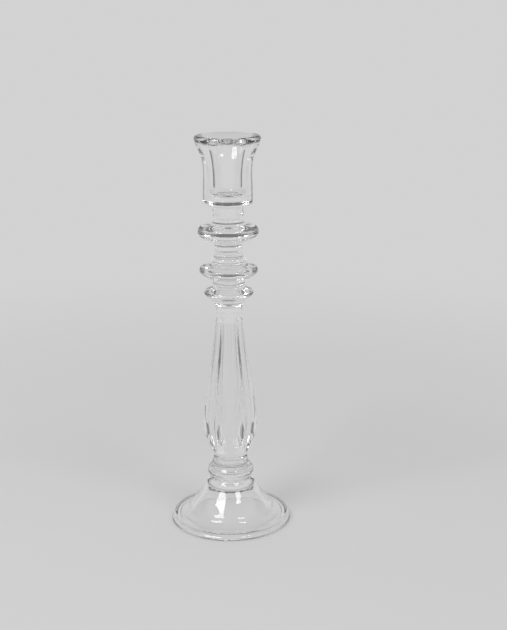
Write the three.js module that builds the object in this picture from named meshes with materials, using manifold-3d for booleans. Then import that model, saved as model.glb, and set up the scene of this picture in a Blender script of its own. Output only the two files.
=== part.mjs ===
// Tall clear-glass candlestick: a hollow domed foot, a six-panelled baluster stem, three knops
// with wafers between them, and a thick-walled candle socket with a flared lip.
// Each gather of glass is a solid of its own. They sit one on another, face to face, where the
// glassmaker welds them hot, so nothing turns, slides or unscrews.
// Millimetres, +Z up. The origin is the middle of the plane that the foot stands on.
import * as THREE from "three";
import { mergeVertices } from "three/addons/utils/BufferGeometryUtils.js";
import Module from "manifold-3d";

const wasm = await Module();
wasm.setup();

// Heights of the welds, from the foot up. A piece lies between its own weld and the next.
const FOOT_TOP = 28.7;
const SHOULDER_TOP = 35.8;
const COLLAR_TOP = 49;
const STEM_TOP = 172.5;
const LOWER_KNOP_TOP = 188;
const LOWER_WAFER_TOP = 192;
const MIDDLE_KNOP_TOP = 205.5;
const MIDDLE_WAFER_TOP = 212;
const UPPER_KNOP_TOP = 239;
const UPPER_WAFER_TOP = 247;
const TOTAL_HEIGHT = 300;

// Radii of the welds, where two pieces share one round face.
const FOOT_NECK = 18.4;
const SHOULDER_NECK = 15.8;
const COLLAR_NECK = 13.4;
const STEM_NECK = 10.4;
const LOWER_KNOP_NECK = 11.2;
const LOWER_WAFER_NECK = 11.4;
const MIDDLE_KNOP_NECK = 12.6;
const MIDDLE_WAFER_NECK = 10.4;
const UPPER_KNOP_NECK = 10.2;
const UPPER_WAFER_NECK = 11.2;

// Foot.
const FOOT_RADIUS = 46.6;
const RIM_HEIGHT = 6.2;
const RIM_ROUND = 1.4;
const RIM_SLOPE = 1.9;
const LEDGE_INNER = 39.5;
const STANDING_RING_OUTER = 45.7;
const STANDING_RING_INNER = 43.2;
const RING_STEP = 1.8;
const HOLLOW_HEIGHT = 25.2;

// Stem.
const PANELS = 6;
const PANEL_CLEARANCE = 2;

// Candle socket.
const LIP_RADIUS = 24.7;
const LIP_ROUND = 2.3;
const SOCKET_WAIST = 18.1;
const SOCKET_FLOOR = 255.4;
const FLOOR_RADIUS = 6;

// Fineness of the turned surfaces.
const SEGMENTS = 40;
const FOOT_SEGMENTS = 52;
const ARC_STEPS = 3;

const clearGlass = () =>
  new THREE.MeshStandardMaterial({ color: 0xe6ecea, roughness: 0.03, metalness: 0 });

const at = (radius, height) => new THREE.Vector2(radius, height);

// An outline starts on the axis at its lower weld and runs out and up to its upper weld.
function outlineFrom(radius, height) {
  return new THREE.Path().moveTo(0, height).lineTo(radius, height);
}

// Closes an outline on the axis at its upper weld.
function closeAt(outline, radius, height) {
  return outline.lineTo(radius, height).lineTo(0, height);
}

// How many straight steps stand for one stretch of an outline.
function stepsOf(curve) {
  if (curve.isEllipseCurve) return ARC_STEPS;
  return curve.isSplineCurve ? curve.points.length - 1 : 1;
}

// The outline turned about the Z axis into one closed surface.
function turned(outline, segments = SEGMENTS, startAngle = 0) {
  const points = outline.curves.flatMap((curve, i) =>
    curve.getPoints(stepsOf(curve)).slice(i === 0 ? 0 : 1),
  );
  return new THREE.LatheGeometry(points, segments, startAngle).rotateX(Math.PI / 2);
}

function solidOf(geometry) {
  const bare = geometry.clone();
  bare.deleteAttribute("normal");
  bare.deleteAttribute("uv");
  const merged = mergeVertices(bare, 1e-4);
  return new wasm.Manifold(
    new wasm.Mesh({
      numProp: 3,
      vertProperties: merged.attributes.position.array,
      triVerts: new Uint32Array(merged.index.array),
    }),
  );
}

function geometryOf(solid) {
  const mesh = solid.getMesh();
  return new THREE.BufferGeometry()
    .setAttribute("position", new THREE.BufferAttribute(mesh.vertProperties, 3))
    .setIndex(new THREE.BufferAttribute(mesh.triVerts, 1));
}

// Domed foot: a narrow standing ring, a sloping rim with a ledge inside it, and a bell-shaped
// dome. The deep hollow underneath follows the dome, so the wall stays even.
function foot() {
  const rimCentre = FOOT_RADIUS - RIM_SLOPE - RIM_ROUND;
  const rimShoulder = RIM_HEIGHT - RIM_ROUND;
  const outline = new THREE.Path()
    .moveTo(0, HOLLOW_HEIGHT)
    .splineThru([at(7, 25.2), at(12, 24.7), at(16, 22.9), at(19.8, 19.4), at(25.4, 12)])
    .splineThru([at(28, 8.6), at(31, 6), at(35, 3.7), at(STANDING_RING_INNER - 1.2, RING_STEP)])
    .lineTo(STANDING_RING_INNER, 0)
    .lineTo(STANDING_RING_OUTER, 0)
    .lineTo(FOOT_RADIUS, 1)
    .lineTo(rimCentre + RIM_ROUND, rimShoulder)
    .absarc(rimCentre, rimShoulder, RIM_ROUND, 0, Math.PI / 2)
    .lineTo(LEDGE_INNER, RIM_HEIGHT - 0.3)
    .splineThru([at(36.2, 6.9), at(33.7, 8.6), at(32.1, 10.7), at(29.8, 14.3)])
    .splineThru([at(27, 18.3), at(24.15, 22), at(21.3, 25.4), at(FOOT_NECK, FOOT_TOP)])
    .lineTo(0, FOOT_TOP);
  return turned(outline, FOOT_SEGMENTS);
}

// Thin bead on the foot's shoulder.
function shoulderWafer() {
  const outline = outlineFrom(FOOT_NECK, FOOT_TOP)
    .splineThru([at(18.7, 30.4), at(18.3, 32.1), at(17.1, 33.7)])
    .splineThru([at(16.1, 34.9), at(SHOULDER_NECK, SHOULDER_TOP)]);
  return turned(closeAt(outline, SHOULDER_NECK, SHOULDER_TOP));
}

// Deep round ring that the stem stands on.
function collarRing() {
  const outline = outlineFrom(SHOULDER_NECK, SHOULDER_TOP).splineThru([
    at(17.3, 38.3),
    at(17.7, 40.4),
    at(17.2, 42.6),
    at(15.7, 44.6),
    at(14.6, 46.7),
    at(COLLAR_NECK, COLLAR_TOP),
  ]);
  return turned(closeAt(outline, COLLAR_NECK, COLLAR_TOP));
}

// The stem's turned body: a quick shoulder at the bottom, a long taper and a coved neck.
function stemBody() {
  const outline = outlineFrom(COLLAR_NECK, COLLAR_TOP)
    .splineThru([
      at(13, 51.5),
      at(13.3, 55.5),
      at(14.6, 59),
      at(16.5, 62.8),
      at(18.4, 66.5),
      at(19.9, 70),
      at(20.8, 73.4),
      at(21.1, 77),
      at(21, 80.5),
      at(20.4, 85),
      at(19.1, 96.6),
      at(16.9, 112.8),
      at(14.3, 128.8),
      at(11.9, 144.7),
      at(10.5, 158),
    ])
    .splineThru([at(10, 163), at(9.6, 166.5), at(9.7, 169.6), at(STEM_NECK, STEM_TOP)]);
  return turned(closeAt(outline, STEM_NECK, STEM_TOP));
}

// The prism of panels that pares the body down, given by the radius to its ridges. It leaves
// the ends round, so each panel runs out in an arch at the neck and in a scallop at the shoulder.
function stemPanels() {
  const clear = COLLAR_NECK + PANEL_CLEARANCE;
  const outline = outlineFrom(clear, COLLAR_TOP)
    .lineTo(18.2, 57)
    .splineThru([
      at(18.8, 64),
      at(19.8, 70.5),
      at(21, 75.5),
      at(21.7, 80),
      at(21.5, 84.5),
      at(20.8, 89),
      at(19.4, 97),
      at(17.1, 112.8),
      at(14.5, 128.8),
      at(12.1, 144.7),
      at(10.7, 158),
      at(10.8, 161),
    ])
    .lineTo(clear, 167);
  // The ridges stand on the X axis and 60 degrees apart, so one panel faces along -Y.
  return turned(closeAt(outline, clear, STEM_TOP), PANELS, Math.PI / PANELS);
}

// Baluster stem with six flat panels.
function stem() {
  return geometryOf(solidOf(stemBody()).intersect(solidOf(stemPanels())));
}

// Smallest knop: a deep bowl below its widest line and a sloping top.
function lowerKnop() {
  const outline = outlineFrom(STEM_NECK, STEM_TOP).splineThru([
    at(11.2, 174.1),
    at(13.6, 176.9),
    at(16.6, 179.7),
    at(18.6, 182.1),
    at(17.2, 184.5),
    at(13.6, 186.3),
    at(LOWER_KNOP_NECK, LOWER_KNOP_TOP),
  ]);
  return turned(closeAt(outline, LOWER_KNOP_NECK, LOWER_KNOP_TOP));
}

// Round bead between the lower and the middle knop.
function lowerWafer() {
  const outline = outlineFrom(LOWER_KNOP_NECK, LOWER_KNOP_TOP).splineThru([
    at(12, 189),
    at(12.2, 190.2),
    at(12, 191.2),
    at(LOWER_WAFER_NECK, LOWER_WAFER_TOP),
  ]);
  return turned(closeAt(outline, LOWER_WAFER_NECK, LOWER_WAFER_TOP));
}

// Middle knop: a disc with a rounded edge and a sloping underside.
function middleKnop() {
  const outline = outlineFrom(LOWER_WAFER_NECK, LOWER_WAFER_TOP)
    .splineThru([at(13.6, 193), at(17, 194.8), at(20.2, 196.8), at(21.9, 199), at(21.6, 201.2)])
    .splineThru([at(19, 202.8), at(15.4, 204), at(MIDDLE_KNOP_NECK, MIDDLE_KNOP_TOP)]);
  return turned(closeAt(outline, MIDDLE_KNOP_NECK, MIDDLE_KNOP_TOP));
}

// Stepped wafer above the middle knop: a wide step under a narrow one.
function middleWafer() {
  const outline = outlineFrom(MIDDLE_KNOP_NECK, MIDDLE_KNOP_TOP)
    .splineThru([at(13.1, 206.4), at(13, 207.8), at(11.6, 208.6)])
    .splineThru([at(11.3, 209.6), at(11.2, 210.6), at(MIDDLE_WAFER_NECK, MIDDLE_WAFER_TOP)]);
  return turned(closeAt(outline, MIDDLE_WAFER_NECK, MIDDLE_WAFER_TOP));
}

// Largest knop, with the short round neck that it stands on.
function upperKnop() {
  const outline = outlineFrom(MIDDLE_WAFER_NECK, MIDDLE_WAFER_TOP)
    .splineThru([at(10.2, 214.5), at(10.3, 218.2), at(12.4, 220.8)])
    .splineThru([at(17, 222.8), at(20.8, 225.2), at(22.8, 228.4), at(22.2, 231.4)])
    .splineThru([at(18.6, 234), at(13.6, 236), at(UPPER_KNOP_NECK, UPPER_KNOP_TOP)]);
  return turned(closeAt(outline, UPPER_KNOP_NECK, UPPER_KNOP_TOP));
}

// Short wafer that joins the knops to the socket.
function upperWafer() {
  const outline = outlineFrom(UPPER_KNOP_NECK, UPPER_KNOP_TOP).splineThru([
    at(11.2, 240.4),
    at(11.6, 242.6),
    at(11.4, 245),
    at(UPPER_WAFER_NECK, UPPER_WAFER_TOP),
  ]);
  return turned(closeAt(outline, UPPER_WAFER_NECK, UPPER_WAFER_TOP));
}

// Candle socket: a thick bell-shaped cup with a flat underside, a rounded lip, and a tapering
// bore with a flat floor that the candle stands on.
function candleSocket() {
  const lipCentre = LIP_RADIUS - LIP_ROUND;
  const lipHeight = TOTAL_HEIGHT - LIP_ROUND;
  const outline = outlineFrom(UPPER_WAFER_NECK, UPPER_WAFER_TOP)
    .splineThru([at(12.4, 248.2), at(14.6, 248.8)])
    .lineTo(16.6, 248.8)
    .splineThru([at(18, 249.8), at(18.5, 252)])
    .splineThru([at(18.4, 259), at(SOCKET_WAIST, 270), at(18.6, 279.5), at(20.5, 287)])
    .lineTo(23.2, 293.2)
    .lineTo(LIP_RADIUS, lipHeight)
    .absarc(lipCentre, lipHeight, LIP_ROUND, 0, Math.PI / 2)
    .absarc(lipCentre, lipHeight, LIP_ROUND, Math.PI / 2, (Math.PI * 3) / 4)
    .splineThru([at(17.5, 298), at(14, 295.5), at(12.4, 292), at(11.1, 286), at(10.5, 280)])
    .splineThru([at(10.05, 273.6), at(9.5, 260), at(8.4, 257), at(FLOOR_RADIUS, SOCKET_FLOOR)])
    .lineTo(0, SOCKET_FLOOR);
  return turned(outline);
}

const PIECES = {
  foot,
  shoulder_wafer: shoulderWafer,
  collar_ring: collarRing,
  stem,
  lower_knop: lowerKnop,
  lower_wafer: lowerWafer,
  middle_knop: middleKnop,
  middle_wafer: middleWafer,
  upper_knop: upperKnop,
  upper_wafer: upperWafer,
  candle_socket: candleSocket,
};

const candlestick = new THREE.Group();
for (const [name, make] of Object.entries(PIECES)) {
  const piece = new THREE.Mesh(make(), clearGlass());
  piece.name = name;
  candlestick.add(piece);
}

export default candlestick;
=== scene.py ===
# %% [markdown]
# # A tall clear-glass candlestick
# The real object is made of hot glass, one gather welded on another: a hollow domed foot, two
# rings, a stem with six pressed panels, three round knops with wafers between them, and a thick
# socket for the candle. Nothing on it moves.
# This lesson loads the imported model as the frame, draws the outline of each piece, and lets one
# Geometry Nodes tree turn the outlines into smooth glass.

import math

import bpy
import numpy as np
from mathutils import Matrix, Vector


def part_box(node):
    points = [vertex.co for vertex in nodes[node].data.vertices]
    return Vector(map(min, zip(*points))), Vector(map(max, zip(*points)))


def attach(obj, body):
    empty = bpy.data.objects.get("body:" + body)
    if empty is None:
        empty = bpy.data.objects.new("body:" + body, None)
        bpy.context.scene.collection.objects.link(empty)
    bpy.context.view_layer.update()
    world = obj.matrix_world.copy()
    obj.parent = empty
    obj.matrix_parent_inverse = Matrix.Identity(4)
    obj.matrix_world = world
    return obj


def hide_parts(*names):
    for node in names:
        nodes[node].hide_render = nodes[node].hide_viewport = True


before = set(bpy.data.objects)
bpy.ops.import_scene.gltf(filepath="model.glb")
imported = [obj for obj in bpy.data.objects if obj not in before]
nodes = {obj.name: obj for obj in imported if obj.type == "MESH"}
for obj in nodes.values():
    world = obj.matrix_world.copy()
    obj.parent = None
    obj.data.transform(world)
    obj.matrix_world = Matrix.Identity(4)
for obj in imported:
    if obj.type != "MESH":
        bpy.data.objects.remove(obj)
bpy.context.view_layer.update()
MM = 0.001
print("nodes:", ", ".join(sorted(nodes)))

# %% [markdown]
# ## The camera
# A product shot is taken from a little above, with a long lens, so that the upright lines stay
# nearly parallel and the foot still shows its oval. The camera stands about three heights away.
# It is placed first, because every other choice is judged through it.

# %% Place the camera
CAMERA_ASIDE = 18.45
CAMERA_AWAY = 883.6
CAMERA_UP = 398.0
CAMERA_TILT = 14.815
CAMERA_ROLL = 0.3
FOCAL_LENGTH = 69.0
FILM_WIDTH = 36.0
FARTHEST_SEEN = 50.0

camera_data = bpy.data.cameras.new("camera")
camera_data.lens = FOCAL_LENGTH
camera_data.sensor_width = FILM_WIDTH
camera_data.clip_end = FARTHEST_SEEN
camera = bpy.data.objects.new("camera", camera_data)
bpy.context.scene.collection.objects.link(camera)
aim = Matrix.Rotation(math.radians(90 - CAMERA_TILT), 4, "X")
camera.matrix_world = (
    Matrix.Translation(Vector((CAMERA_ASIDE, -CAMERA_AWAY, CAMERA_UP)) * MM)
    @ aim
    @ Matrix.Rotation(math.radians(-CAMERA_ROLL), 4, "Z")
)
bpy.context.scene.camera = camera
print("camera at", [round(v, 3) for v in camera.location])

# %% [markdown]
# ## Node helpers
# A node tree is written the way it is drawn: add a node, set its plain values, join its sockets.
# These helpers do that in one line each. A value that is the same everywhere is set on the socket
# itself, and only a value that varies is joined.

# %% Helpers that add nodes
def add_node(tree, kind, settings=None, inputs=None):
    node = tree.nodes.new(kind)
    for name, value in (settings or {}).items():
        setattr(node, name, value)
    for key, value in (inputs or {}).items():
        if isinstance(value, bpy.types.NodeSocket):
            tree.links.new(value, node.inputs[key])
        else:
            node.inputs[key].default_value = value
    return node


def math_node(tree, operation, *values):
    node = add_node(tree, "ShaderNodeMath", {"operation": operation}, dict(enumerate(values)))
    return node.outputs[0]


def passage(tree, value, start, end, low_value, high_value, shape="LINEAR"):
    """low_value up to start, high_value from end on, and a passage between the two."""
    node = add_node(
        tree,
        "ShaderNodeMapRange",
        {"interpolation_type": shape},
        {
            "Value": value,
            "From Min": start,
            "From Max": end,
            "To Min": low_value,
            "To Max": high_value,
        },
    )
    return node.outputs["Result"]


def soft_step(tree, value, start, end, low_value, high_value):
    """A passage that sets out gently and arrives gently."""
    return passage(tree, value, start, end, low_value, high_value, "SMOOTHSTEP")


def noise_pattern(tree, place, size, detail):
    """Clouds of about the given size in millimetres."""
    inputs = {"Vector": place, "Scale": 1 / (size * MM), "Detail": detail}
    return add_node(tree, "ShaderNodeTexNoise", inputs=inputs).outputs["Fac"]


# %% [markdown]
# ## Clear glass
# Fire-polished glass is smooth, but it is never perfect: the mould and the flame leave a slow
# waviness that makes reflections wander, and handling leaves the surface a touch less glossy in
# places. The colour is almost white, and drifts a little towards a cooler tone and back.
# All patterns read Object coordinates, so they lie still on the pieces.

# %% Make the glass
WAVE_SIZE = 14.0
WAVE_DEPTH = 0.03
WAVE_DETAIL = 1.5
RIPPLE_SIZE = 2.2
RIPPLE_DEPTH = 0.0012
RIPPLE_DETAIL = 2.0
TONE_DETAIL = 1.0
TONES = ((0.3, (0.99, 0.995, 0.993, 1)), (0.7, (1.0, 1.0, 1.0, 1)))
SMUDGE_SIZE = 9.0
SMUDGE_DETAIL = 4.0
SMUDGE_START, SMUDGE_END = 0.45, 0.75
SMUDGE_ROUGHNESS = 0.03
SCUFF_HEIGHT = 0.5
SCUFF_ROUGHNESS = 0.22
GLASS_IOR = 1.5


def bumped(tree, height, depth, **below):
    """Surface direction on bumps of that height, given in millimetres."""
    inputs = {"Height": height, "Strength": 1.0, "Distance": depth * MM, **below}
    return add_node(tree, "ShaderNodeBump", inputs=inputs).outputs["Normal"]


def glass_material(name):
    material = bpy.data.materials.new(name)
    material.use_nodes = True
    tree = material.node_tree
    tree.nodes.clear()
    place = add_node(tree, "ShaderNodeTexCoord").outputs["Object"]

    tone = noise_pattern(tree, place, WAVE_SIZE, TONE_DETAIL)
    colour = add_node(tree, "ShaderNodeValToRGB", inputs={"Fac": tone})
    for stop, (position, tint) in zip(colour.color_ramp.elements, TONES):
        stop.position = position
        stop.color = tint

    smudge = noise_pattern(tree, place, SMUDGE_SIZE, SMUDGE_DETAIL)
    handled = passage(tree, smudge, SMUDGE_START, SMUDGE_END, 0.0, SMUDGE_ROUGHNESS)
    height = add_node(tree, "ShaderNodeSeparateXYZ", inputs={"Vector": place}).outputs["Z"]
    worn = passage(tree, height, 0.0, SCUFF_HEIGHT * MM, SCUFF_ROUGHNESS, 0.0)
    roughness = math_node(tree, "ADD", handled, worn)

    wave = noise_pattern(tree, place, WAVE_SIZE, WAVE_DETAIL)
    ripple = noise_pattern(tree, place, RIPPLE_SIZE, RIPPLE_DETAIL)
    slow = bumped(tree, wave, WAVE_DEPTH)
    both = bumped(tree, ripple, RIPPLE_DEPTH, Normal=slow)
    surface = add_node(
        tree,
        "ShaderNodeBsdfPrincipled",
        inputs={
            "Base Color": colour.outputs["Color"],
            "Roughness": roughness,
            "Transmission Weight": 1.0,
            "IOR": GLASS_IOR,
            "Normal": both,
        },
    )
    add_node(tree, "ShaderNodeOutputMaterial", inputs={"Surface": surface.outputs["BSDF"]})
    return material


clear_glass = glass_material("clear_glass")
print("glass nodes:", len(clear_glass.node_tree.nodes))

# %% [markdown]
# ## The welds
# Two pieces of hot glass that are pressed together fuse, and light passes the joint as if it
# weren't there. Each piece here is a closed body of its own, so it has a round face at each
# weld. Those faces get a material that lets everything through, and the light that enters one
# piece then travels on into the next.

# %% Make the weld material
def weld_material(name):
    material = bpy.data.materials.new(name)
    material.use_nodes = True
    surface = material.node_tree.nodes["Principled BSDF"]
    surface.inputs["Base Color"].default_value = (1, 1, 1, 1)
    surface.inputs["Alpha"].default_value = 0.0
    return material


fused_weld = weld_material("fused_weld")
print("weld alpha:", fused_weld.node_tree.nodes["Principled BSDF"].inputs["Alpha"].default_value)

# %% [markdown]
# ## Outlines
# A turned piece is all in its outline: the line from the axis at its bottom, out round its
# outside and back to the axis at its top. An outline is drawn in strokes. A stroke is a smooth
# curve through a few points, as a bent spline would lie, and two strokes meet in a corner.
# The flame rounds every corner a little, so the joined outline is smoothed over a short length.

# %% Draw smooth strokes
FINE_STEP = 0.05
MESH_STEP = 0.5
FLAME_ROUNDING = 0.35


def natural_curve(along, values, fine):
    """Cubic curve through values with the least bending, read off at the places in fine."""
    n = len(along)
    gap = np.diff(along)
    slope = np.diff(values) / gap
    matrix = np.eye(n)
    right = np.zeros(n)
    for i in range(1, n - 1):
        matrix[i, i - 1 : i + 2] = gap[i - 1], 2 * (gap[i - 1] + gap[i]), gap[i]
        right[i] = 6 * (slope[i] - slope[i - 1])
    bend = np.linalg.solve(matrix, right)
    i = np.clip(np.searchsorted(along, fine) - 1, 0, n - 2)
    after = fine - along[i]
    before = along[i + 1] - fine
    return (
        (bend[i] * before**3 + bend[i + 1] * after**3) / (6 * gap[i])
        + (values[i] / gap[i] - bend[i] * gap[i] / 6) * before
        + (values[i + 1] / gap[i] - bend[i + 1] * gap[i] / 6) * after
    )


def stroke(points):
    """A smooth curve through the points, as many close points."""
    points = np.array(points, float)
    along = np.concatenate(([0], np.cumsum(np.linalg.norm(np.diff(points, axis=0), axis=1))))
    fine = np.linspace(0, along[-1], max(2, round(along[-1] / FINE_STEP)))
    return np.column_stack([natural_curve(along, points[:, k], fine) for k in (0, 1)])


def even_steps(line, step):
    """The same line with points an even distance apart."""
    along = np.concatenate(([0], np.cumsum(np.linalg.norm(np.diff(line, axis=0), axis=1))))
    fine = np.linspace(0, along[-1], max(2, round(along[-1] / step)))
    return np.column_stack([np.interp(fine, along, line[:, k]) for k in (0, 1)])


def flame_polished(line, rounding):
    """Rounds the corners of a line and leaves its two ends where they are."""
    line = even_steps(line, FINE_STEP)
    reach = round(3 * rounding / FINE_STEP)
    weights = np.exp(-0.5 * (np.arange(-reach, reach + 1) * FINE_STEP / rounding) ** 2)
    weights /= weights.sum()
    first, last = line[0], line[-1]
    padded = np.vstack([2 * first - line[reach:0:-1], line, 2 * last - line[-2 : -reach - 2 : -1]])
    smooth = np.column_stack([np.convolve(padded[:, k], weights, "valid") for k in (0, 1)])
    return smooth


def outline_of(strokes, step=MESH_STEP, rounding=FLAME_ROUNDING):
    line = np.vstack([stroke(points) for points in strokes])
    return even_steps(flame_polished(line, rounding), step)


sample = outline_of([[(10, 0), (14, 4), (10, 8)]])
print("a test bead has", len(sample), "points, widest", round(float(sample[:, 0].max()), 2))

# %% [markdown]
# ## Turning the outlines
# The lathe here is a Geometry Nodes tree. It rolls up a plain open cylinder with one row of
# corners for each point of the outline, reads each row's radius and height from the outline, and
# moves the row there. Merging by distance closes the surface where it meets the axis.
# The same tree can pare the turned body down to panels: on a flat panel, the radius grows with
# one over the cosine of the angle from the panel's middle, and the smaller of the two radii wins.
# A panel can also be hollowed towards its middle, as a thumb would press it, and the
# wider the panel, the deeper.
# The smooth minimum keeps the ridges from being razor sharp. Near the ridges the columns crowd
# together, so that the panels spend few faces and the ridges get many.

# %% Build the turning tree
TURNING_INPUTS = {
    "Outline": "NodeSocketGeometry",
    "Steps Round": "NodeSocketInt",
    "Panels": "NodeSocketInt",
    "Panel Turn": "NodeSocketFloat",
    "Panel Hollow": "NodeSocketFloat",
    "Panel Rounding": "NodeSocketFloat",
    "Crowding": "NodeSocketFloat",
    "Waviness": "NodeSocketFloat",
    "Wave Size": "NodeSocketFloat",
    "Seed": "NodeSocketFloat",
    "Weld Below": "NodeSocketBool",
    "Weld Above": "NodeSocketBool",
    "Glass": "NodeSocketMaterial",
    "Weld": "NodeSocketMaterial",
}
MERGE_GAP = 0.001
ALMOST_ONE = 0.9


def turning_tree():
    tree = bpy.data.node_groups.new("turned_glass", "GeometryNodeTree")
    for name, kind in TURNING_INPUTS.items():
        tree.interface.new_socket(name=name, in_out="INPUT", socket_type=kind)
    tree.interface.new_socket(name="Piece", in_out="OUTPUT", socket_type="NodeSocketGeometry")
    given = add_node(tree, "NodeGroupInput").outputs

    def calc(operation, *values):
        return math_node(tree, operation, *values)

    size = add_node(tree, "GeometryNodeAttributeDomainSize", inputs={"Geometry": given["Outline"]})
    last_row = calc("SUBTRACT", size.outputs["Point Count"], 1)
    blank = add_node(
        tree,
        "GeometryNodeMeshCylinder",
        {"fill_type": "NONE"},
        {"Vertices": given["Steps Round"], "Side Segments": last_row, "Radius": 1.0, "Depth": 1.0},
    )
    here = add_node(tree, "GeometryNodeInputPosition").outputs["Position"]
    parts = add_node(tree, "ShaderNodeSeparateXYZ", inputs={"Vector": here}).outputs
    row = calc("ROUND", calc("MULTIPLY", calc("ADD", parts["Z"], 0.5), last_row))

    at_row = add_node(
        tree,
        "GeometryNodeSampleIndex",
        {"data_type": "FLOAT_VECTOR", "domain": "POINT", "clamp": True},
        {"Geometry": given["Outline"], "Index": row},
    )
    tree.links.new(here, at_row.inputs["Value"])
    drawn = add_node(tree, "ShaderNodeSeparateXYZ", inputs={"Vector": at_row.outputs[0]}).outputs
    flat_name = add_node(
        tree, "GeometryNodeInputNamedAttribute", {"data_type": "FLOAT"}, {"Name": "flat"}
    )
    flat_at_row = add_node(
        tree,
        "GeometryNodeSampleIndex",
        {"data_type": "FLOAT", "domain": "POINT", "clamp": True},
        {"Geometry": given["Outline"], "Index": row},
    )
    tree.links.new(flat_name.outputs["Attribute"], flat_at_row.inputs["Value"])

    even_angle = calc("ARCTAN2", parts["Y"], parts["X"])
    sides = calc("MAXIMUM", given["Panels"], 1)
    pull = calc("DIVIDE", given["Crowding"], sides)
    shift = calc("MULTIPLY", pull, calc("SINE", calc("MULTIPLY", given["Panels"], even_angle)))
    angle = calc("SUBTRACT", even_angle, shift)

    width = calc("DIVIDE", math.tau, sides)
    half_width = calc("DIVIDE", width, 2)
    from_middle = calc("SUBTRACT", calc("FLOORED_MODULO", angle, width), half_width)
    flat_radius = calc("DIVIDE", flat_at_row.outputs[0], calc("COSINE", from_middle))
    towards_ridge = calc("POWER", calc("DIVIDE", calc("ABSOLUTE", from_middle), half_width), 2)
    deepest = calc("MULTIPLY", given["Panel Hollow"], flat_at_row.outputs[0])
    hollow = calc("MULTIPLY", deepest, calc("SUBTRACT", 1, towards_ridge))
    hollowed_radius = calc("MULTIPLY", flat_radius, calc("SUBTRACT", 1, hollow))
    pared = calc("SMOOTH_MIN", drawn["X"], hollowed_radius, given["Panel Rounding"])
    radius = add_node(
        tree,
        "GeometryNodeSwitch",
        {"input_type": "FLOAT"},
        {"Switch": given["Panels"], "False": drawn["X"], "True": pared},
    ).outputs[0]

    turned_angle = calc("ADD", angle, given["Panel Turn"])

    def round_place(radius_socket):
        return add_node(
            tree,
            "ShaderNodeCombineXYZ",
            inputs={
                "X": calc("MULTIPLY", radius_socket, calc("COSINE", turned_angle)),
                "Y": calc("MULTIPLY", radius_socket, calc("SINE", turned_angle)),
                "Z": drawn["Z"],
            },
        ).outputs[0]

    noise = add_node(
        tree,
        "ShaderNodeTexNoise",
        {"noise_dimensions": "4D"},
        {
            "Vector": round_place(radius),
            "W": given["Seed"],
            "Scale": calc("DIVIDE", 1, given["Wave Size"]),
            "Detail": 1.0,
        },
    )
    share = calc("MINIMUM", calc("DIVIDE", radius, given["Wave Size"]), 1)
    dip = calc("MULTIPLY", calc("MULTIPLY", given["Waviness"], noise.outputs["Fac"]), share)
    wavy_place = round_place(calc("SUBTRACT", radius, dip))

    marked = add_node(
        tree,
        "GeometryNodeStoreNamedAttribute",
        {"data_type": "FLOAT", "domain": "POINT"},
        {"Geometry": blank.outputs["Mesh"], "Name": "row", "Value": row},
    )
    shaped = add_node(
        tree,
        "GeometryNodeSetPosition",
        inputs={"Geometry": marked.outputs["Geometry"], "Position": wavy_place},
    )
    closed = add_node(
        tree,
        "GeometryNodeMergeByDistance",
        inputs={"Geometry": shaped.outputs["Geometry"], "Distance": MERGE_GAP * MM},
    )

    row_name = add_node(
        tree, "GeometryNodeInputNamedAttribute", {"data_type": "FLOAT"}, {"Name": "row"}
    ).outputs["Attribute"]
    first = calc("LESS_THAN", row_name, ALMOST_ONE)
    final = calc("GREATER_THAN", row_name, calc("SUBTRACT", last_row, ALMOST_ONE))
    below = calc("MULTIPLY", first, given["Weld Below"])
    above = calc("MULTIPLY", final, given["Weld Above"])
    on_weld = calc("GREATER_THAN", calc("ADD", below, above), 0.5)
    face_weld = add_node(
        tree,
        "GeometryNodeStoreNamedAttribute",
        {"data_type": "BOOLEAN", "domain": "FACE"},
        {"Geometry": closed.outputs["Geometry"], "Name": "weld", "Value": on_weld},
    )
    weld_name = add_node(
        tree, "GeometryNodeInputNamedAttribute", {"data_type": "BOOLEAN"}, {"Name": "weld"}
    ).outputs["Attribute"]
    not_weld = add_node(
        tree, "FunctionNodeBooleanMath", {"operation": "NOT"}, {0: weld_name}
    ).outputs[0]
    smooth = add_node(
        tree,
        "GeometryNodeSetShadeSmooth",
        inputs={"Geometry": face_weld.outputs["Geometry"], "Shade Smooth": not_weld},
    )
    real = add_node(
        tree, "GeometryNodeRealizeInstances", inputs={"Geometry": smooth.outputs["Geometry"]}
    )
    glassy = add_node(
        tree,
        "GeometryNodeSetMaterial",
        inputs={"Geometry": real.outputs["Geometry"], "Material": given["Glass"]},
    )
    fused = add_node(
        tree,
        "GeometryNodeSetMaterial",
        inputs={
            "Geometry": glassy.outputs["Geometry"],
            "Selection": weld_name,
            "Material": given["Weld"],
        },
    )
    add_node(tree, "NodeGroupOutput", inputs={"Piece": fused.outputs["Geometry"]})
    return tree


turned_glass = turning_tree()
print("turning tree:", len(turned_glass.nodes), "nodes,", len(turned_glass.links), "links")

# %% [markdown]
# ## From an outline to a finished piece
# The outline goes in as a chain of points, the tree runs once, and its result becomes a plain
# mesh. The height and the width of each weld are read from the frame, so two pieces that the
# frame puts face to face also meet here. A quick count shows that each mesh is closed.

# %% Turn, bake and hand over a piece
ROUND_STEPS = 144
WIDE_ROUND_STEPS = 192
FLAT_WAVE = 0.07
FLAT_WAVE_SIZE = 16.0
WAVE_SEED = 3.0
SAME_HEIGHT = 0.01


def ends_of(node):
    """Lowest and highest height of a CAD node in millimetres."""
    low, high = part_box(node)
    return low[2] / MM, high[2] / MM


def radius_at(node, height):
    """Radius of the CAD node's flat round face at that height, in millimetres."""
    points = [v.co for v in nodes[node].data.vertices]
    return max(math.hypot(p.x, p.y) for p in points if abs(p.z / MM - height) < SAME_HEIGHT) / MM


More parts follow.
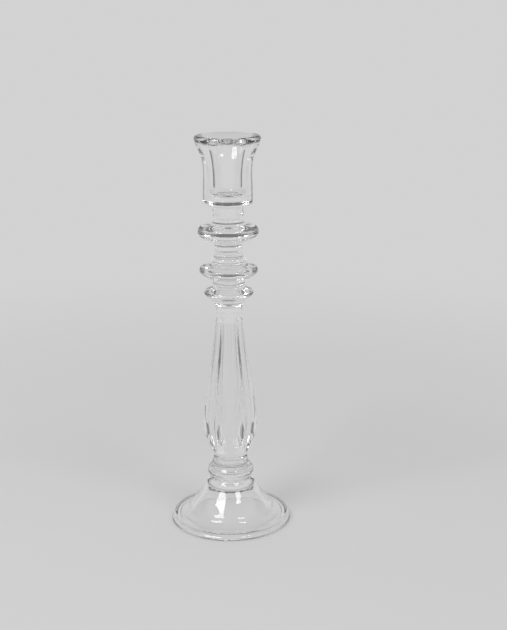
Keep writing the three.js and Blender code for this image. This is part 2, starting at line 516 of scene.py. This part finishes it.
def outline_object(name, line, flats=None):
    mesh = bpy.data.meshes.new(name)
    points = [(r * MM, 0.0, z * MM) for r, z in line]
    mesh.from_pydata(points, [(i, i + 1) for i in range(len(points) - 1)], [])
    flat = mesh.attributes.new("flat", "FLOAT", "POINT")
    flat.data.foreach_set("value", [0.0] * len(points) if flats is None else list(flats * MM))
    blank = bpy.data.objects.new(name, mesh)
    bpy.context.scene.collection.objects.link(blank)
    return blank


def open_edges(mesh):
    """How many edges don't join exactly two faces."""
    uses = np.zeros(len(mesh.edges), int)
    edge_of_corner = np.empty(len(mesh.loops), int)
    mesh.loops.foreach_get("edge_index", edge_of_corner)
    np.add.at(uses, edge_of_corner, 1)
    return int((uses != 2).sum())


def turn(node, line, welds=(True, True), flats=None, steps=ROUND_STEPS, **more):
    blank = outline_object(node + "_outline", line, flats)
    values = {
        "Steps Round": steps,
        "Panels": 0,
        "Panel Turn": 0.0,
        "Panel Hollow": 0.0,
        "Panel Rounding": 0.0,
        "Crowding": 0.0,
        "Waviness": FLAT_WAVE * MM,
        "Wave Size": FLAT_WAVE_SIZE * MM,
        "Seed": WAVE_SEED,
        "Weld Below": welds[0],
        "Weld Above": welds[1],
        "Glass": clear_glass,
        "Weld": fused_weld,
        **more,
    }
    modifier = blank.modifiers.new("turn", "NODES")
    modifier.node_group = turned_glass
    for item in turned_glass.interface.items_tree:
        if item.in_out == "INPUT" and item.name in values:
            modifier[item.identifier] = values[item.name]
    depsgraph = bpy.context.evaluated_depsgraph_get()
    mesh = bpy.data.meshes.new_from_object(blank.evaluated_get(depsgraph))
    mesh.name = node + "_glass"
    for spare in ("row", "weld"):
        mesh.attributes.remove(mesh.attributes[spare])
    blank.modifiers.clear()
    bpy.data.objects.remove(blank)
    piece = bpy.data.objects.new(node + "_glass", mesh)
    bpy.context.scene.collection.objects.link(piece)
    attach(piece, "root")
    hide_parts(node)
    print(f"{piece.name}: {len(mesh.polygons)} faces, {open_edges(mesh)} open edges")
    return piece


def between_welds(node, strokes):
    """The whole outline of a piece with a weld at both ends. Heights count from the lower one."""
    low, high = ends_of(node)
    start, end = radius_at(node, low), radius_at(node, high)
    drawn = [[(r, low + h) for r, h in points] for points in strokes]
    drawn[0].insert(0, (start, low))
    drawn[-1].append((end, high))
    for before, after in zip(drawn, drawn[1:]):
        after.insert(0, before[-1])
    return np.vstack([(0, low), outline_of(drawn), (0, high)])


def round_corner(centre, corner, start, end, count):
    """Points on a rounded corner. Angles go from straight out to straight up."""
    return [
        (centre[0] + corner * math.cos(a), centre[1] + corner * math.sin(a))
        for a in np.linspace(start, end, count)
    ]


# %% [markdown]
# ## The foot
# The foot is pressed as a thick bell and is hollow underneath, so it stands on a narrow flat
# ring and doesn't rock. Its outline starts on the axis at the top of the hollow, runs down to the
# standing ring, up the rim and over the ledge, and climbs the dome to the shoulder.

# %% Turn the foot
low, high = ends_of("foot")
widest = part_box("foot")[1][0] / MM
neck = radius_at("foot", high)
RIM_TOP = 6.2
RIM_CORNER = 1.4
RIM_SLOPE = 1.9
RIM_START = 0.3
RIM_POINTS = 7
LEDGE_DROP = 0.3
LEDGE = 39.5
RING_OUTER = widest - 0.9
RING_INNER = widest - 3.4
RING_STEP = (RING_INNER - 1.2, 1.8)

rim_centre = (widest - RIM_SLOPE - RIM_CORNER, RIM_TOP - RIM_CORNER)
rim_corner = round_corner(rim_centre, RIM_CORNER, RIM_START, math.pi / 2, RIM_POINTS)
foot_line = outline_of(
    [
        [(0, 25.2), (7, 25.2), (12, 24.7), (16, 22.9), (19.8, 19.4), (22.8, 15.6), (25.4, 12)]
        + [(28, 8.6), (31, 6), (35, 3.7), (39.5, 2.8), RING_STEP],
        [RING_STEP, (RING_INNER, low)],
        [(RING_INNER, low), (RING_OUTER, low)],
        [(RING_OUTER, low), (widest - 0.1, low + 0.5), (widest - 0.1, low + 1.3), rim_corner[0]],
        rim_corner,
        [rim_corner[-1], (LEDGE, RIM_TOP - LEDGE_DROP)],
        [(LEDGE, RIM_TOP - LEDGE_DROP), (36.2, 6.9), (33.7, 8.6), (32.1, 10.7), (29.8, 14.3)]
        + [(27, 18.3), (24.15, 22), (21.3, 25.4), (neck, high)],
    ]
)
foot_line = np.vstack([foot_line, (0, high)])
turn("foot", foot_line, welds=(False, True), steps=WIDE_ROUND_STEPS)

# %% [markdown]
# ## The two rings
# A thin bead rounds off the foot's shoulder, and a deep ring on it carries the stem.

# %% Turn the rings
turn(
    "shoulder_wafer",
    between_welds("shoulder_wafer", [[(18.7, 1.7), (18.3, 3.4), (17.1, 5), (16.1, 6.2)]]),
)
turn(
    "collar_ring",
    between_welds(
        "collar_ring",
        [[(16, 0.8), (17.3, 2.5), (17.7, 4.6), (17.2, 6.8), (15.7, 8.8), (14.6, 10.9)]],
    ),
)

# %% [markdown]
# ## The stem
# The stem is first a turned baluster with a quick shoulder, a long taper and a coved neck. Six
# hollowed panels are then pressed into it. Each panel fades out in an arch at the neck and in a
# scallop at the shoulder, where the round body lies inside the panel.
# The panel is given by its distance from the axis at each height, so the tree can do both jobs.
# Its hollow takes about one per cent off that distance for each millimetre of it.

# %% Turn and panel the stem
low, high = ends_of("stem")
body = between_welds(
    "stem",
    [
        [(13, 2.5), (13.3, 6.5), (14.6, 10), (16.5, 13.8), (18.4, 17.5), (19.9, 21), (20.8, 24.4)]
        + [(21.1, 28), (21, 31.5), (20.4, 36), (19.1, 47.6), (16.9, 63.8), (14.3, 79.8)]
        + [(11.9, 95.7), (10.5, 109), (10, 114), (9.6, 117.5), (9.7, 120.6)],
    ],
)
ridge = np.array(
    [(18.2, 8), (18.8, 15), (19.8, 21.5), (21, 26.5), (21.7, 31), (21.5, 35.5), (20.8, 40)]
    + [(19.4, 48), (17.1, 63.8), (14.5, 79.8), (12.1, 95.7), (10.7, 109), (10.8, 112), (15.4, 118)]
)
PANELS = 6
PANEL_HOLLOW = 0.0097
PANEL_TURN = math.radians(2.0)
RIDGE_ROUNDING = 0.25
RIDGE_CROWDING = 0.75
STEM_STEPS = 288

to_flat = math.cos(math.pi / PANELS)
inside = np.clip(body[:, 1] - low, ridge[0, 1], ridge[-1, 1])
flats = natural_curve(ridge[:, 1], ridge[:, 0], inside) * to_flat
turn(
    "stem",
    body,
    flats=flats,
    steps=STEM_STEPS,
    **{
        "Panels": PANELS,
        "Panel Turn": PANEL_TURN,
        "Panel Hollow": PANEL_HOLLOW / MM,
        "Panel Rounding": RIDGE_ROUNDING * MM,
        "Crowding": RIDGE_CROWDING,
    },
)

# %% [markdown]
# ## Knops and wafers
# A knop is a bulge that gives the hand a hold and catches the light. The three knops differ: a
# small bowl, a disc with a rounded edge, and a broad lens. A wafer, a small disc of glass, is
# pressed between each two of them.

# %% Turn the knops and wafers
SHORT_PIECES = {
    "lower_knop": [
        [(11.2, 1.6), (13.6, 4.4), (16.6, 7.2), (18.6, 9.6), (17.2, 12), (13.6, 13.8)],
    ],
    "lower_wafer": [[(12, 1), (12.2, 2.2), (12, 3.2)]],
    "middle_knop": [
        [(13.6, 1), (17, 2.8), (20.2, 4.8), (21.9, 7), (21.6, 9.2), (19, 10.8), (15.4, 12)],
    ],
    "middle_wafer": [
        [(13.1, 0.9), (13, 2.3), (11.6, 3.1)],
        [(11.3, 4.1), (11.2, 5.1)],
    ],
    "upper_knop": [
        [(10.2, 2.5), (10.3, 6.2), (12.4, 8.8), (17, 10.8), (20.8, 13.2), (22.8, 16.4)]
        + [(22.2, 19.4), (18.6, 22), (13.6, 24)],
    ],
    "upper_wafer": [[(11.2, 1.4), (11.6, 3.6), (11.4, 6)]],
}
for name, strokes in SHORT_PIECES.items():
    turn(name, between_welds(name, strokes))

# %% [markdown]
# ## The candle socket
# The socket is a thick cup. Outside it has a flat underside, a slight waist and a flare. The lip
# is a rounded bead. Inside, the bore tapers so that a candle of the usual size wedges in it, and
# it ends in a small flat floor.

# %% Turn the socket
low, high = ends_of("candle_socket")
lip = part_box("candle_socket")[1][0] / MM
LIP_CORNER = 2.3
LIP_END = 0.75 * math.pi
LIP_POINTS = 9
FLOOR_HEIGHT = 255.4
FLOOR_RADIUS = 6.0
lip_centre = (lip - LIP_CORNER, high - LIP_CORNER)
bead = round_corner(lip_centre, LIP_CORNER, 0, LIP_END, LIP_POINTS)
socket_line = outline_of(
    [
        [(radius_at("candle_socket", low), low), (12.4, 248.2), (14.6, 248.8)],
        [(14.6, 248.8), (16.6, 248.8)],
        [(16.6, 248.8), (18, 249.8), (18.5, 252)],
        [(18.5, 252), (18.4, 259), (18.1, 270), (18.6, 279.5), (20.5, 287), (23.2, 293.2)]
        + [bead[0]],
        bead,
        [bead[-1], (17.5, 298), (14, 295.5), (12.4, 292), (11.8, 289.8), (11.1, 286)]
        + [(10.5, 280), (10.05, 273.6), (9.8, 266.4), (9.5, 260), (8.4, 257)]
        + [(FLOOR_RADIUS, FLOOR_HEIGHT)],
        [(FLOOR_RADIUS, FLOOR_HEIGHT), (0, FLOOR_HEIGHT)],
    ]
)
socket_line = np.vstack([(0, low), socket_line])
turn("candle_socket", socket_line, welds=(True, False), steps=WIDE_ROUND_STEPS)

# %% [markdown]
# ## The studio
# Clear glass shows nothing but its surroundings, so the surroundings are built with care. A
# pale floor runs out flat and curves up into a wall all the way round, without a seam. Close to
# the object a little less than half of it is glow and the rest is matt paper, which takes soft
# shadows. Under the foot most of it is glow, which lightens what shows through the dome. Far out
# it is all glow, as on a backdrop with lights of its own, so it stays even to the horizon.
# Glass needs something dark to bend into its edges, or they grow faint. So the glass, but not
# the bare eye, finds the room dim at both sides of the backdrop.
# The floor lies a hair below the standing ring, because two faces in one plane would flicker.

# %% Build the floor and backdrop
FLOOR_GAP = 0.2
FLAT_RADIUS = 2.0
CURVE_RADIUS = 0.9
WALL_TOP = 1.6
FLAT_RINGS = (0.5, 1.0, 1.5)
CURVE_POINTS = 17
FLOOR_STEPS = 96
PAPER_ALBEDO = 0.85
BACKDROP_GLOW = 0.645
SIDE_GLOW = 0.2
SIDE_START, SIDE_END, SIDE_FADE = 66.0, 118.0, 6.0
SIDE_NEAR, SIDE_FAR = 0.6, 1.2
GLOW_UNDER, GLOW_NEAR = 0.8, 0.42
UNDER_FOOT, UNDER_FOOT_FADE = 0.04, 0.004
GLOW_START, GLOW_FULL = 0.12, 0.9


def backdrop_material(name):
    material = bpy.data.materials.new(name)
    material.use_nodes = True
    tree = material.node_tree
    tree.nodes.clear()
    place = add_node(tree, "ShaderNodeTexCoord").outputs["Object"]
    parts = add_node(tree, "ShaderNodeSeparateXYZ", inputs={"Vector": place}).outputs
    distance = add_node(
        tree, "ShaderNodeVectorMath", {"operation": "LENGTH"}, {0: place}
    ).outputs["Value"]

    foot_edge = UNDER_FOOT + UNDER_FOOT_FADE
    near_share = soft_step(tree, distance, UNDER_FOOT, foot_edge, GLOW_UNDER, GLOW_NEAR)
    far_share = soft_step(tree, distance, GLOW_START, GLOW_FULL, 0.0, 1.0 - GLOW_NEAR)
    share = math_node(tree, "ADD", near_share, far_share)

    off_back = math_node(tree, "ABSOLUTE", math_node(tree, "ARCTAN2", parts["X"], parts["Y"]))
    middle = math.radians((SIDE_START + SIDE_END) / 2)
    half = math.radians((SIDE_END - SIDE_START) / 2)
    off_side = math_node(tree, "ABSOLUTE", math_node(tree, "SUBTRACT", off_back, middle))
    aside = soft_step(tree, off_side, half, half + math.radians(SIDE_FADE), 1.0, 0.0)
    away = soft_step(tree, distance, SIDE_NEAR, SIDE_FAR, 0.0, 1.0)
    straight = add_node(tree, "ShaderNodeLightPath").outputs["Is Camera Ray"]
    through_glass = math_node(tree, "SUBTRACT", 1, straight)
    dimming = math_node(tree, "MULTIPLY", math_node(tree, "MULTIPLY", aside, away), through_glass)
    strength = soft_step(tree, dimming, 0.0, 1.0, BACKDROP_GLOW, SIDE_GLOW)

    paper = add_node(
        tree,
        "ShaderNodeBsdfDiffuse",
        inputs={"Color": (PAPER_ALBEDO, PAPER_ALBEDO, PAPER_ALBEDO, 1)},
    )
    glow = add_node(tree, "ShaderNodeEmission", inputs={"Strength": strength})
    mixed = add_node(
        tree, "ShaderNodeMixShader", inputs={0: share, 1: paper.outputs[0], 2: glow.outputs[0]}
    )
    add_node(tree, "ShaderNodeOutputMaterial", inputs={"Surface": mixed.outputs[0]})
    return material


def studio_floor():
    curve = [
        (FLAT_RADIUS + CURVE_RADIUS * math.sin(a), CURVE_RADIUS * (1 - math.cos(a)))
        for a in np.linspace(0, math.pi / 2, CURVE_POINTS)
    ]
    line = [(ring, 0.0) for ring in FLAT_RINGS] + curve
    line.append((FLAT_RADIUS + CURVE_RADIUS, WALL_TOP))
    points = [
        (r * math.cos(a), r * math.sin(a), z - FLOOR_GAP * MM)
        for r, z in line
        for a in np.linspace(0, math.tau, FLOOR_STEPS, endpoint=False)
    ]
    faces = [list(range(FLOOR_STEPS))]
    for row in range(len(line) - 1):
        base, outer = row * FLOOR_STEPS, (row + 1) * FLOOR_STEPS
        for i in range(FLOOR_STEPS):
            j = (i + 1) % FLOOR_STEPS
            faces.append((base + j, base + i, outer + i, outer + j))
    mesh = bpy.data.meshes.new("studio_floor")
    mesh.from_pydata(points, [], faces)
    mesh.polygons.foreach_set("use_smooth", [True] * len(mesh.polygons))
    floor = bpy.data.objects.new("studio_floor", mesh)
    bpy.context.scene.collection.objects.link(floor)
    mesh.materials.append(backdrop_material("pale_paper"))
    return floor


studio_floor()
print("studio floor radius in m:", FLAT_RADIUS + CURVE_RADIUS)

# %% [markdown]
# Two soft boxes stand in front, one to the left and one to the right, both fairly high. They
# make the paired highlights on the foot and the two soft shadows behind. The room is evenly
# bright round the horizon and dimmer overhead, and that gives the glass its darker edges.

# %% Hang the soft boxes and light the room
LIGHT_DISTANCE = 1.7
LIT_PLACE = Vector((0, 0, 0.1))
LIGHTS = {
    "left_box": {"turn": -46.0, "lift": 48.0, "size": (0.75, 0.45), "power": 9.2},
    "right_box": {"turn": 43.0, "lift": 55.0, "size": (0.46, 0.3), "power": 3.8},
}

for name, facts in LIGHTS.items():
    data = bpy.data.lights.new(name, "AREA")
    data.shape = "RECTANGLE"
    data.size, data.size_y = facts["size"]
    data.energy = facts["power"]
    turn_angle, lift = math.radians(facts["turn"]), math.radians(facts["lift"])
    away = Vector(
        (
            math.sin(turn_angle) * math.cos(lift),
            -math.cos(turn_angle) * math.cos(lift),
            math.sin(lift),
        )
    )
    light = bpy.data.objects.new(name, data)
    light.location = away * LIGHT_DISTANCE + LIT_PLACE
    light.rotation_euler = away.to_track_quat("Z", "Y").to_euler()
    bpy.context.scene.collection.objects.link(light)
    print(name, "at", [round(v, 2) for v in light.location])

ROOM_SIDES = 0.55
ROOM_OVERHEAD = 0.13
DIMMING_START = 0.6
DIMMING_END = 0.95

world = bpy.data.worlds.new("studio_room")
world.use_nodes = True
room_tree = world.node_tree
direction = add_node(room_tree, "ShaderNodeTexCoord").outputs["Generated"]
upward = add_node(room_tree, "ShaderNodeSeparateXYZ", inputs={"Vector": direction}).outputs["Z"]
brightness = soft_step(
    room_tree, upward, DIMMING_START, DIMMING_END, ROOM_SIDES, ROOM_OVERHEAD
)
room = room_tree.nodes["Background"]
room.inputs["Color"].default_value = (1, 1, 1, 1)
room_tree.links.new(brightness, room.inputs["Strength"])
bpy.context.scene.world = world
bpy.context.scene.view_settings.view_transform = "Standard"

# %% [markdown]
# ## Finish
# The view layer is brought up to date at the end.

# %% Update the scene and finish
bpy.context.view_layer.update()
